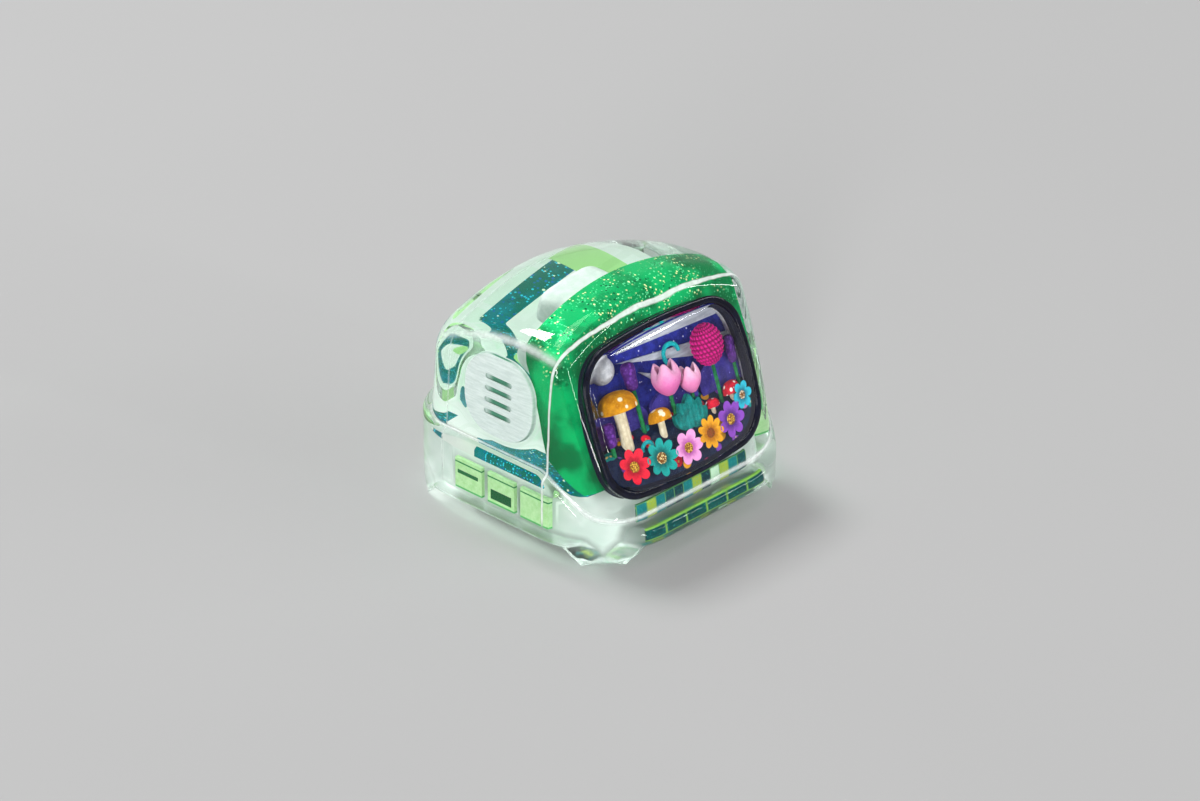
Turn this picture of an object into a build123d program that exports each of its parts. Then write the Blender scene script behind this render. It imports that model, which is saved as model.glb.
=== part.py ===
from build123d import *
import math
import os

# A one-unit keycap cast in clear resin as a small old television: a square skirt on four feet, a drafted
# cabinet with a crowned top, a tilted screen with a small planted bed behind a domed window, and a stem
# socket below. Millimetres, +Z up, the screen faces -Y, the origin is the middle of the base at foot level.

# Skirt
base_width = 18.0           # across the flat sides
corner_radius = 5.2
skirt_height = 5.4          # feet to the shoulder at the sides and back
shoulder_round = 0.4
ledge_height = 2.0          # feet to the front lip
ledge_dip = 5.6             # where the shoulder starts to dip, back from the front
rim_lift = 1.05             # height of the open arch under each side
foot_size = 2.7             # end of an arch, in from the flat side
foot_flare = 0.7            # slope at each end of an arch
foot_round = 0.8            # outer edge of the feet

# Cabinet
total_height = 14.5         # feet to the crest of the top
cabinet_step = 0.45         # the skirt stands out this far at the shoulder
cabinet_root = 3.4          # the cabinet starts this far below the shoulder
cabinet_back = 1.45         # the back wall is set in by this much more
back_corner = 3.0
cabinet_draft = 3.6         # degrees
crown_radius = 19.1         # top, from side to side
barrel_radius = 16.4        # top, from front to back
barrel_shift = -1.45        # crest of the top, along Y
top_round = 0.9
front_round = 1.0

# Screen
screen_margin = 2.15        # side of the base to the side of the screen
screen_drop = 2.0           # crest of the top down to the screen's upper edge
screen_sill = 3.2           # feet to the screen's lower edge
screen_bow = 0.6            # how far each edge bows out
screen_corner = 2.6
screen_tilt = 20.0          # degrees, leaning back
screen_setback = 3.05       # middle of the screen, behind the front of the base
bezel_width = 0.4
bezel_depth = 0.45
lens_seat = 0.25            # step in the cup that carries the window
lens_rise = 1.0             # top of the dome, above the bezel
lens_edge = 0.2             # edge of the dome at its sides, above the bezel
lens_wall = 0.5
lens_round = 0.15

# Cup behind the screen
cup_wall = 0.4
cup_depth = 2.35            # bezel plane to the back wall
floor_front = 0.5           # depth of the floor at its front edge
knee_share = 0.455          # floor's knee, below the middle, as a share of the screen's half height
knee_depth = 0.65
heel_share = 0.11           # foot of the back wall, in the same way
lining = 0.25               # painted floor and sky panels
neck_width = 4.2
neck_tall = 3.0
neck_rise = 1.35            # middle of the neck, above the middle of the screen
neck_length = 8.35          # middle of the screen to the rear end of the neck
neck_round = 0.9

# Coloured arch round the screen
arch_cover = 0.85           # clear resin over the arch
arch_depth = 3.0            # bezel plane to the back of the arch
arch_leg = 3.4              # ends of the legs, below the middle of the screen
arch_leg_depth = 1.45       # bezel plane to the back of a leg at its end
arch_taper_start = 0.9      # legs start to thin here, below the middle of the screen

# Speakers, one in each side wall
speaker_width = 5.4
speaker_tall = 5.0
speaker_corner = 2.1
speaker_level = 8.75
speaker_shift = 0.2         # along Y
speaker_cover = 0.1
speaker_thick = 0.5
boss_rim = 0.45            # slope of the pad over a speaker
boss_rise = 0.3
slot_count = 4
slot_length = 2.2
slot_width = 0.32
slot_pitch = 0.75
slot_depth = 0.25

# Underside
cavity_wall = 1.9           # skirt wall at the rim
cavity_corner = 3.4
cavity_lean = 2.2           # the front wall of the cavity leans back by this much
plate_top = 4.8
plate_thick = 1.0
tile_columns = 4
tile_rows = 4
tile_rib = 0.4
tile_depth = 0.5

# Coloured blocks cast into the skirt
block_inset = 1.1           # clear resin outside a block
block_thick = 0.5
block_width = 2.2
block_tall = 2.0
block_pitch = 2.7
block_level = 2.5
block_count = 3             # in each side and the back
lip_block_inset = 1.6       # clear resin in front of a block
lip_block_width = 1.3
lip_block_tall = 1.3
lip_block_pitch = 1.5
lip_block_level = 1.95
lip_block_count = 6         # behind the front lip

# Socket for a cross-shaped switch stem
post_diameter = 5.6
post_bottom = 0.3           # above the feet
cross_length = 4.1
cross_wide = 1.3            # arm along Y
cross_narrow = 1.17         # arm along X
cross_depth = 3.9

# Planted bed
plant_share = 0.69          # plants are sized by the bed's half height, or by this share of its half width
stalk_radius = 0.14
leaf_thick = 0.5
leaf_spread = 27.0          # degrees between leaves
beam_thick = 0.2
hill_thick = 0.45

half = base_width / 2
cavity_half = half - cavity_wall
tilt = math.radians(screen_tilt)
screen_width = base_width - 2 * screen_margin
screen_height = (total_height - screen_drop - screen_sill) / math.cos(tilt)
screen_level = (total_height - screen_drop + screen_sill) / 2
screen_y = screen_setback - half
neck_back = screen_y + neck_length
draft_run = math.tan(math.radians(cabinet_draft))
large = 4 * base_width
on_screen = Plane(
    origin=(0, screen_y, screen_level),
    x_dir=(1, 0, 0),
    z_dir=(0, -math.cos(tilt), math.sin(tilt)),
).location
pocket_inset = bezel_width + lens_seat
bed_half = screen_width / 2 - pocket_inset
bed_top = screen_height / 2 - pocket_inset
plant_unit = min(bed_top, plant_share * bed_half)
knee_height = knee_share * screen_height / 2
heel_height = heel_share * screen_height / 2
sky = lining - cup_depth
lens_bulge = lens_rise - lens_edge
lens_radius = ((screen_width / 2 - bezel_width) ** 2 + lens_bulge**2) / lens_bulge / 2


def under(place):
    # Everything below a plane
    return place * Pos(0, 0, -large / 2) * Box(large, large, large)


def rounded_square(inset, level):
    # Plan of the skirt, moved in by inset
    side = base_width - 2 * inset
    return Pos(0, 0, level) * RectangleRounded(side, side, corner_radius - inset)


def wall_inset(level):
    # How far the drafted cabinet wall lies inside the skirt
    return cabinet_step + (level - skirt_height) * draft_run


def across(points):
    # A side profile of (Y, Z) points carried right across the part
    return extrude(Plane.YZ * make_face(Polyline(*points, close=True)), large / 2, both=True)


def screen_outline(inset):
    # Bowed edges with round corners
    wide = screen_width / 2 - inset
    tall = screen_height / 2 - inset
    x = wide - screen_bow
    y = tall - screen_bow
    face = make_face(
        [
            ThreePointArc((x, -y), (wide, 0), (x, y)),
            ThreePointArc((x, y), (0, tall), (-x, y)),
            ThreePointArc((-x, y), (-wide, 0), (-x, -y)),
            ThreePointArc((-x, -y), (0, -tall), (x, -y)),
        ]
    )
    return fillet(face.vertices(), screen_corner - inset)


def screen_block(inset, deep, high):
    # The screen's outline from deep below the bezel plane to high above it
    return Pos(0, 0, -deep) * extrude(screen_outline(inset), deep + high)


def cabinet_plan(level, cover):
    # Plan of the drafted walls, moved in by cover, with tighter corners behind
    inset = wall_inset(level) + cover
    side = half - inset
    back = side - cabinet_back
    face = make_face(Polyline((-side, -side), (side, -side), (side, back), (-side, back), close=True))
    face = fillet(face.vertices().group_by(Axis.Y)[0], corner_radius - inset)
    face = fillet(face.vertices().group_by(Axis.Y)[-1], back_corner - inset)
    return Pos(0, 0, level) * face


def crown(cover):
    # Barrel across the part for the top and back, bulging in the middle, and straight down below its axis
    middle = Vector(0, barrel_shift, total_height - barrel_radius)
    top = barrel_radius - cover
    edge = top - crown_radius + math.sqrt(crown_radius**2 - half**2)
    bulge = ThreePointArc((-half, edge), (0, top), (half, edge))
    section = make_face([bulge, Polyline((half, edge), (half, 0), (-half, 0), (-half, edge))])
    barrel = revolve(Pos(*middle) * (Plane.XZ * section), Axis(middle, (1, 0, 0)))
    below = extrude(Pos(*middle) * (section + mirror(section, about=Plane.XZ)), -large)
    return barrel + below


def cabinet_walls(cover):
    # Drafted walls under the crowned top, moved in by cover
    low = skirt_height - cabinet_root
    walls = loft([cabinet_plan(low, cover), cabinet_plan(total_height + 1, cover)], ruled=True)
    return walls & crown(cover)


def cabinet():
    # The outer cabinet with its soft edges, cut off by the plane of the screen
    shell = cabinet_walls(0)
    top = shell.faces().sort_by(Axis.Z)[-1]
    shell = fillet(top.edges(), top_round) & under(on_screen)
    front = shell.faces().sort_by_distance(on_screen.position)[0]
    brow = [edge for edge in front.edges() if edge.center().Z > skirt_height]
    return fillet(brow, front_round)


def skirt():
    # Square foot whose shoulder dips to a low lip in front, with an open arch under each side
    block = extrude(rounded_square(0, 0), skirt_height)
    block = fillet(block.faces().sort_by(Axis.Z)[0].edges(), foot_round)
    block = fillet(block.faces().sort_by(Axis.Z)[-1].edges(), shoulder_round)
    start = Vector(ledge_dip - half, skirt_height)
    end = Vector(-half, ledge_height)
    run = end - start
    dip = Spline(
        start,
        start + Vector(0.4 * run.X, 0.33 * run.Y),
        start + Vector(0.7 * run.X, 0.76 * run.Y),
        end,
        tangents=((-1, 0), (-1, -0.35)),
    )
    top = skirt_height + 1
    rest = Polyline(end, (-half, top), (start.X, top), start)
    block -= extrude(Plane.YZ * make_face([dip, rest]), large / 2, both=True)
    foot = half - foot_size
    crest = foot - foot_flare
    arch = Polyline((-foot, 0), (-crest, rim_lift), (crest, rim_lift), (foot, 0), close=True)
    block -= extrude(Plane.YZ * make_face(arch), large / 2, both=True)
    block -= extrude(Plane.XZ * make_face(arch), large / 2, both=True)
    return block


def speaker_place():
    # On the left wall, looking out along its drafted normal
    lean = math.radians(cabinet_draft)
    return Plane(
        origin=(wall_inset(speaker_level) - half, speaker_shift, speaker_level),
        x_dir=(0, -1, 0),
        z_dir=(-math.cos(lean), 0, math.sin(lean)),
    ).location


def speaker():
    # White disc with a short row of slots, just under the wall
    plan = RectangleRounded(speaker_width, speaker_tall, speaker_corner)
    disc = Pos(0, 0, -speaker_cover - speaker_thick) * extrude(plan, speaker_thick)
    slots = GridLocations(1, slot_pitch, 1, slot_count) * SlotOverall(slot_length, slot_width)
    disc -= Pos(0, 0, -speaker_cover - slot_depth) * extrude(Sketch() + slots, slot_depth)
    return speaker_place() * disc


def speaker_boss():
    # Low clear pad raised over the disc, with sloping sides
    rims = []
    for rim, height in ((2 * boss_rim, -boss_rise), (0, boss_rise)):
        plan = RectangleRounded(speaker_width + 2 * rim, speaker_tall + 2 * rim, speaker_corner + rim)
        rims.append(Pos(0, 0, height) * plan)
    return speaker_place() * loft(rims)


def cavity():
    # Open underside, up to the top of the stem plate, with a front wall that leans clear of the screen
    side = 2 * cavity_half
    block = extrude(RectangleRounded(side, side, cavity_corner), plate_top)
    back = large / 2
    lean = [(-cavity_half, 0), (cavity_lean - cavity_half, plate_top), (back, plate_top), (back, 0)]
    return block & across(lean)


def stem_plate(tiles):
    # Plate with tile pockets above and the cross-socket post below
    plate = cavity() - under(Pos(0, 0, plate_top - plate_thick)) - tiles
    length = plate_top - plate_thick - post_bottom
    post = Pos(0, 0, post_bottom) * extrude(Circle(post_diameter / 2), length)
    cross = Rectangle(cross_length, cross_narrow) + Rectangle(cross_wide, cross_length)
    post -= Pos(0, 0, post_bottom) * extrude(cross, cross_depth)
    return plate + post


def floor_tiles():
    # Thin tiles between the ribs of the plate
    field = offset(RectangleRounded(2 * cavity_half, 2 * cavity_half, cavity_corner), -tile_rib)
    block = Pos(0, 0, plate_top - tile_depth) * extrude(field, tile_depth)
    front = cavity_lean - cavity_half + tile_rib
    depth = cavity_half - front
    wide = 2 * cavity_half / tile_columns
    deep = depth / tile_rows
    cells = GridLocations(wide, deep, tile_columns, tile_rows) * Rectangle(wide - tile_rib, deep - tile_rib)
    grid = extrude(Pos(0, front + depth / 2) * (Sketch() + cells), large)
    return block & grid


def block_row(inset, width, tall, pitch, level, count):
    # Row of blocks inside the right-hand wall of the skirt
    row = Pos(half - inset - block_thick / 2, 0, level) * GridLocations(1, pitch, 1, count)
    return [place * Box(block_thick, width, tall) for place in row]


def base_blocks():
    # Blocks in both sides and the back
    row = block_row(block_inset, block_width, block_tall, block_pitch, block_level, block_count)
    return Part() + [Rot(0, 0, turn) * block for turn in (0, 90, 180) for block in row]


def lip_blocks():
    # Blocks behind the front lip
    sizes = (lip_block_width, lip_block_tall, lip_block_pitch, lip_block_level, lip_block_count)
    row = block_row(lip_block_inset, *sizes)
    return Part() + [Rot(0, 0, -90) * block for block in row]


def floor_points(lift):
    # Side profile of the bed's floor on the screen's own axes, raised by lift
    return [
        (-screen_height / 2, lift - floor_front),
        (-knee_height, lift - knee_depth),
        (-heel_height, lift - cup_depth),
    ]


def bed_profile(lift):
    # Side profile of the room over the bed's floor and in front of its back wall
    top = screen_height
    return floor_points(lift) + [(top, lift - cup_depth), (top, top), (-top, top), (-top, lift - floor_front)]


def bed_hollow():
    # The cup's inside
    return screen_block(pocket_inset, cup_depth, 0) & across(bed_profile(0))


def cup():
    # White tray behind the bezel, stepped for the window, with a picture-tube neck behind
    profile = make_face(Polyline(*bed_profile(0), close=True))
    shell = extrude(Plane.YZ * offset(profile, cup_wall, kind=Kind.INTERSECTION), large / 2, both=True)
    tray = screen_block(0, cup_depth + cup_wall, -bezel_depth) & shell
    tray = on_screen * (tray - bed_hollow())
    end = RectangleRounded(neck_width, neck_tall, neck_round)
    neck = extrude(Plane.XZ.offset(-neck_back) * Pos(0, screen_level + neck_rise) * end, neck_length)
    neck = fillet(neck.faces().sort_by(Axis.Y)[-1].edges(), neck_round / 2)
    neck &= under(on_screen * Pos(0, 0, -cup_depth - cup_wall))
    return tray + neck


def bezel():
    # Dark ring, flush with the front
    return on_screen * (screen_block(0, bezel_depth, 0) - screen_block(bezel_width, bezel_depth, 0))


def dome(inset, wall, deep):
    # Block under a shallow ball-shaped top
    ball = Pos(0, 0, lens_rise - lens_radius) * Sphere(lens_radius - wall)
    return screen_block(inset, deep, lens_rise) & ball


def lens():
    # Domed window that sits inside the bezel, on the cup's step
    solid = dome(bezel_width, 0, bezel_depth)
    crest = solid.faces().filter_by(GeomType.SPHERE)
    solid = fillet(crest.edges(), lens_round)
    return on_screen * (solid - dome(pocket_inset, lens_wall, bezel_depth))


def arch(cut):
    # Coloured frame in the shape of an arch round the screen, under the clear skin
    top = total_height
    legs = [
        (top, -arch_cover),
        (top, -arch_depth),
        (-arch_taper_start, -arch_depth),
        (-arch_leg, -arch_leg_depth),
        (-arch_leg, -arch_cover),
    ]
    band = across(legs) - screen_block(0, 2 * arch_depth, arch_depth)
    return (cabinet_walls(arch_cover) & on_screen * band) - cut


def bed_air():
    # Room for the plants: inside the cup, above its linings and under the window
    return dome(pocket_inset, lens_wall, cup_depth) & across(bed_profile(lining))


def linings():
    # Painted floor and sky panels
    wall = screen_block(pocket_inset, cup_depth, 0)
    ground = wall & across(floor_points(0) + floor_points(lining)[::-1])
    top = screen_height
    panel = [(-heel_height, -cup_depth), (top, -cup_depth), (top, sky), (-heel_height, sky)]
    return ground, wall & across(panel)


def spot(x, y, height):
    # A place in the bed, as shares of its half width and half height
    return Pos(x * bed_half, y * bed_top, height)


def cap(radius, tall):
    # Mushroom cap, hollow below
    rim = (radius, 0)
    dome_line = Spline((0, tall), rim, tangents=((1, 0), (0, -1)))
    gills = Polyline(rim, (0, 0.2 * tall), (0, tall))
    return revolve(make_face([dome_line, gills]), Axis.Y)


def stalk(radius, length):
    # Round stem reaching down from the origin
    return Rot(90, 0, 0) * extrude(Circle(radius), length)


def tulip(radius, tall):
    # Closed flower cup
    lip = (0.7 * radius, tall)
    petal = Spline((0, 0), (radius, 0.42 * tall), lip, tangents=((1, 0), (-0.3, 1)))
    inside = Polyline(lip, (0, 0.75 * tall), (0, 0))
    return revolve(make_face([petal, inside]), Axis.Y)


def spike(radius, tall):
    # Slim flower head with a round top and bottom
    side = Spline((0, 0), (radius, 0.42 * tall), (0, tall), tangents=((1, 0), (-1, 0)))
    return revolve(make_face([side, Line((0, tall), (0, 0))]), Axis.Y)


def leaf(width, tall):
    # Flat pointed leaf with one fuller side
    face = make_face(
        [
            ThreePointArc((0, 0), (0.6 * width, 0.45 * tall), (0.15 * width, tall)),
            ThreePointArc((0.15 * width, tall), (-0.4 * width, 0.5 * tall), (0, 0)),
        ]
    )
    return extrude(face, leaf_thick)


def hook(radius, thick):
    # Curled tendril, a little over half a ring
    ring = Torus(radius, thick)
    return ring - Pos(radius, -radius, 0) * Box(2 * radius, 2 * radius, 4 * thick)


air = bed_air()
parts = {}
planted = []


def plant(name, shape):
    # Sets a piece in the bed: seated on the linings, clear of what is planted already
    shape = shape & air
    for other in planted:
        shape -= other
    planted.append(shape)
    parts[name] = on_screen * shape


def grow(name, places, shape_of, stem_radius=None, stem_name=None):
    # Plants one piece for each place and its sizes, then the stem under it
    for number, (x, y, depth, *shares) in enumerate(places, 1):
        at = spot(x, y, depth * cup_depth)
        sizes = [share * plant_unit for share in shares]
        plant(f"{name}_{number}", at * shape_of(*sizes))
        if stem_name:
            plant(f"{stem_name}_{number}", at * stalk(stem_radius or 0.3 * sizes[0], bed_top))


# Behind the plants, on the sky panel: rays, hills and a moon, as shares of the bed's half sizes
rays = [
    ((-0.4, 0.8), (1, 1), (1, 0.7)),
    ((-0.42, 0.68), (1, 0.42), (1, 0.12)),
    ((-0.2, 0.45), (0.42, 0.04), (0.12, 0.04)),
]
for number, points in enumerate(rays, 1):
    corners = [(x * bed_half, y * bed_top) for x, y in points]
    ray = make_face(Polyline(*corners, close=True))
    plant(f"light_beam_{number}", Pos(0, 0, sky) * extrude(ray, beam_thick))
for number, (x, wide, tall) in enumerate([(-0.62, 0.535, 0.302), (0.1, 0.44, 0.233), (0.74, 0.44, 0.35)], 1):
    ridge = extrude(Ellipse(wide * plant_unit, tall * plant_unit), hill_thick)
    plant(f"hill_{number}", spot(x, -0.12, sky) * ridge)
plant("moon", spot(-0.6, 0.68, sky) * Sphere(0.198 * plant_unit))

# Places as shares of the bed's half width, half height and depth, then sizes as shares of the plant unit
mushrooms = [(-0.62, 0.14, -0.47, 0.3, 0.256), (-0.2, -0.22, -0.36, 0.186, 0.163)]
grow("mushroom_cap", mushrooms, cap, None, "mushroom_stem")
toadstools = [(0.76, -0.33, -0.4, 0.165, 0.165), (0.46, -0.38, -0.32, 0.128, 0.116)]
grow("toadstool_cap", toadstools, cap, None, "toadstool_stem")
grow("pom_flower", [(0.615, 0.42, -0.447, 0.256)], Sphere, stalk_radius, "pom_stem")
tulips = [(0.0, 0.03, -0.383, 0.174, 0.29), (0.27, -0.08, -0.425, 0.14, 0.233)]
grow("tulip", tulips, tulip, stalk_radius, "tulip_stem")
spikes = [
    (-0.82, -0.3, -0.383, 0.093, 0.35),
    (0.905, 0.02, -0.5, 0.093, 0.395),
    (-0.363, 0.28, -0.6, 0.098, 0.395),
]
grow("flower_spike", spikes, spike, stalk_radius, "spike_stem")
grow("cattail", [(-0.9, 0.2, -0.6, 0.079, 0.372)], spike, stalk_radius, "cattail_stem")
grow("tendril", [(0.2, 0.5, -0.68, 0.14, 0.033), (-0.45, -0.5, -0.234, 0.093, 0.03)], hook)
grow("pebble", [(x, -0.74, -0.213, 0.079) for x in (-0.68, -0.4, -0.05, 0.3, 0.62)], Sphere)
leaves = Part()
for turn in range(-2, 3):
    blade = leaf(0.233 * plant_unit, (0.465 - 0.047 * abs(turn)) * plant_unit)
    leaves += Rot(0, 0, leaf_spread * turn) * blade
plant("agave", spot(0.14, -0.5, -0.383 * cup_depth) * leaves)

ground, panel = linings()
parts["ground_panel"] = on_screen * ground
parts["sky_panel"] = on_screen * panel

# The cast pieces round the bed
tray = cup()
parts["screen_cup"] = tray
parts["screen_bezel"] = bezel()
parts["screen_lens"] = lens()
parts["floor_tiles"] = floor_tiles()
parts["stem_plate"] = stem_plate(parts["floor_tiles"])
parts["base_blocks"] = base_blocks()
parts["lip_blocks"] = lip_blocks()
parts["speaker_left"] = speaker()
parts["speaker_right"] = mirror(parts["speaker_left"], about=Plane.YZ)
parts["green_arch"] = arch(cavity())

# Clear casting, with a seat for everything that it holds
boss = speaker_boss()
body = skirt() + cabinet() + boss + mirror(boss, about=Plane.YZ)
body -= cavity()
body -= on_screen * screen_block(0, bezel_depth, lens_rise)
body -= on_screen * bed_hollow()
for name in ("screen_cup", "green_arch", "speaker_left", "speaker_right", "base_blocks", "lip_blocks"):
    body -= parts[name]
parts["clear_body"] = body

os.makedirs("parts", exist_ok=True)
for name, shape in parts.items():
    export_step(shape, f"parts/{name}.step")
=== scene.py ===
import math

import bpy
import numpy as np
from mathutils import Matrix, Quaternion, Vector


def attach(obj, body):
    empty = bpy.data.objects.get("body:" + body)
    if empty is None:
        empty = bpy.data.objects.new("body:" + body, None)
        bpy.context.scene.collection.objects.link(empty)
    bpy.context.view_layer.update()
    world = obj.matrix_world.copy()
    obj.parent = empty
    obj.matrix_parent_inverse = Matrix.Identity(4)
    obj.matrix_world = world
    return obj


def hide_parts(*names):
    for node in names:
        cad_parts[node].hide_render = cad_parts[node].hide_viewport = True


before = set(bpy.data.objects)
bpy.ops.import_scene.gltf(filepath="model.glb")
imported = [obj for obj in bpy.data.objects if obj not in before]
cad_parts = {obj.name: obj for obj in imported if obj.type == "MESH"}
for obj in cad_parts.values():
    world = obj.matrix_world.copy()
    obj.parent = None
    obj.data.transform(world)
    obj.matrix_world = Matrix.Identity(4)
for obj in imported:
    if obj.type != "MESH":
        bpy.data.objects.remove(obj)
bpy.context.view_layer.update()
mm = 0.001
print("frame loaded,", len(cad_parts), "nodes")


# numbers and colours

def tint(code):  # web colour to linear light
    parts = np.array([int(code[i:i + 2], 16) / 255 for i in (1, 3, 5)])
    linear = np.where(parts <= 0.04045, parts / 12.92, ((parts + 0.055) / 1.055) ** 2.4)
    return (*linear.tolist(), 1.0)


def smooth(low, high, value):  # 0 below low, 1 above high, eased between
    t = np.clip((value - low) / (high - low), 0, 1)
    return t * t * (3 - 2 * t)


# shader maths as plain expressions

class Wire:
    def __init__(self, paint, socket):
        self.paint = paint
        self.socket = socket

    def op(self, kind, other=None, flip=False):
        pair = (other, self) if flip else (self, other)
        values = {i: v for i, v in enumerate(pair) if v is not None}
        return self.paint.node("ShaderNodeMath", {"operation": kind}, values)

    def __add__(self, other):
        return self.op("ADD", other)

    def __radd__(self, other):
        return self.op("ADD", other, True)

    def __sub__(self, other):
        return self.op("SUBTRACT", other)

    def __rsub__(self, other):
        return self.op("SUBTRACT", other, True)

    def __mul__(self, other):
        return self.op("MULTIPLY", other)

    def __rmul__(self, other):
        return self.op("MULTIPLY", other, True)

    def __truediv__(self, other):
        return self.op("DIVIDE", other)

    def over(self, other):
        return self.op("GREATER_THAN", other)

    def under(self, other):
        return self.op("LESS_THAN", other)

    def top(self, other):
        return self.op("MAXIMUM", other)

    def low(self, other):
        return self.op("MINIMUM", other)


class Paint:
    def __init__(self, name):
        self.material = bpy.data.materials.new(name)
        self.material.use_nodes = True
        self.tree = self.material.node_tree
        self.tree.nodes.clear()
        self.output = self.tree.nodes.new("ShaderNodeOutputMaterial")

    def put(self, socket, value):
        if isinstance(value, Wire):
            self.tree.links.new(value.socket, socket)
        elif value is not None:
            socket.default_value = value

    def node(self, kind, settings=None, values=None, out=0):  # settings are properties, values are sockets
        made = self.tree.nodes.new(kind)
        for key, value in (settings or {}).items():
            setattr(made, key, value)
        for key, value in (values or {}).items():
            named = [s for s in made.inputs if s.identifier == key or s.name == key]
            self.put(made.inputs[key] if isinstance(key, int) else named[0], value)
        if isinstance(out, str):
            out = [s.identifier for s in made.outputs].index(out)
        return Wire(self, made.outputs[out])

    def place(self, scale=1.0):  # Object coordinates in millimetres
        where = self.node("ShaderNodeTexCoord", out="Object")
        size = [s / mm for s in (scale if isinstance(scale, tuple) else (scale,) * 3)]
        return self.node("ShaderNodeMapping", None, {"Vector": where, "Scale": size})

    def axis(self, name):  # one Object coordinate in millimetres
        return self.node("ShaderNodeSeparateXYZ", None, {0: self.place()}, "XYZ".index(name))

    def within(self, **ranges):  # 1 where every named coordinate is inside its pair, else 0
        inside = 1.0
        for name, (low, high) in ranges.items():
            value = self.axis(name)
            inside = inside * (value.over(low) * value.under(high))
        return inside

    def noise(self, scale, detail=3.0, rough=0.55, stretch=1.0):
        values = {"Vector": self.place(stretch), "Scale": scale, "Detail": detail, "Roughness": rough}
        return self.node("ShaderNodeTexNoise", None, values)

    def cells(self, scale, out="Distance"):
        values = {"Vector": self.place(), "Scale": scale}
        return self.node("ShaderNodeTexVoronoi", None, values, out)

    def chance(self, scale, channel=0):  # one number per cell
        return self.node("ShaderNodeSeparateColor", None, {0: self.cells(scale, "Color")}, channel)

    def stored(self, name):  # a value kept on the mesh's points
        return self.node("ShaderNodeAttribute", {"attribute_name": name}, None, "Fac")

    def ramp(self, factor, low, high):  # eased step from low to high
        values = {"Value": factor, "From Min": low, "From Max": high}
        return self.node("ShaderNodeMapRange", {"interpolation_type": "SMOOTHSTEP"}, values)

    def mix(self, factor, first, second):
        values = {"Factor_Float": factor, "A_Color": first, "B_Color": second}
        return self.node("ShaderNodeMix", {"data_type": "RGBA"}, values, "Result_Color")

    def palette(self, factor, stops):  # flat colours, each from its own place on
        picked = self.node("ShaderNodeValToRGB", None, {0: factor})
        ramp = picked.socket.node.color_ramp
        ramp.interpolation = "CONSTANT"
        while len(ramp.elements) < len(stops):
            ramp.elements.new(0.5)
        for element, (place, colour) in zip(ramp.elements, stops):
            element.position = place
            element.color = colour
        return picked

    def bump(self, height, strength, depth):  # depth in millimetres
        values = {"Height": height, "Strength": strength, "Distance": depth * mm}
        return self.node("ShaderNodeBump", None, values)

    def skin(self, **sockets):
        values = {key.replace("_", " "): value for key, value in sockets.items()}
        return self.node("ShaderNodeBsdfPrincipled", None, values)

    def blend(self, factor, first, second):
        return self.node("ShaderNodeMixShader", None, {0: factor, 1: first, 2: second})

    def done(self, surface, volume=None):
        self.tree.links.new(surface.socket, self.output.inputs["Surface"])
        if volume:
            self.tree.links.new(volume.socket, self.output.inputs["Volume"])
        return self.material


# finishes

sealedShine = 0.03  # specular level of pieces cast in the resin
pocketShine = 0.06  # and of those behind the window


def clearCasting(name, settings):  # clear resin, open to shadow rays
    paint = Paint(name)
    surface = paint.skin(Base_Color=settings["face"], Roughness=settings["gloss"], IOR=settings["bend"],
                         Transmission_Weight=1.0, Specular_Tint=settings["shine"])
    shadow = paint.node("ShaderNodeLightPath", out="Is Shadow Ray")
    if settings["seams"]:  # frosted joins and creases, partly painted highlight, and a milky inside
        milk = paint.stored("milk")
        streak = paint.noise(2.6, 4.0, 0.6)
        sweep = paint.noise(0.5, 2.0)
        above = paint.ramp(paint.axis("Z"), *settings["seamsFrom"])
        # white along the crease and the top's edges: partly frost, partly painted highlight
        frost = paint.stored("edge") * (0.35 + 0.9 * streak)
        for y, wide, share in settings["seams"]:  # joins across the casting, at these Y
            off = (paint.axis("Y") - y + settings["waver"] * (sweep - 0.5)).op("ABSOLUTE")
            line = (1 - paint.ramp(off, wide * 0.45, wide)) * above
            frost = frost.top(line * share * (0.55 + 0.75 * streak))
        cloud = paint.mix(paint.ramp(sweep, 0.3, 0.7), settings["milk"], settings["frost"])
        inside = paint.skin(Base_Color=cloud, Roughness=0.45, IOR=1.4, Transmission_Weight=0.15)
        white = paint.skin(Base_Color=settings["frost"], Roughness=0.3, IOR=1.46, Transmission_Weight=0.1)
        surface = paint.blend(milk, surface, inside)
        surface = paint.blend(frost.low(1.0), surface, white)
        shadow = shadow * (1 - settings["milkShadow"] * milk)
    veil = paint.node("ShaderNodeBsdfTransparent", None, {"Color": settings["veil"]})
    surface = paint.blend(shadow, surface, veil)
    values = {"Color": settings["depth"], "Density": settings["density"]}
    return paint.done(surface, paint.node("ShaderNodeVolumeAbsorption", None, values))


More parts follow.
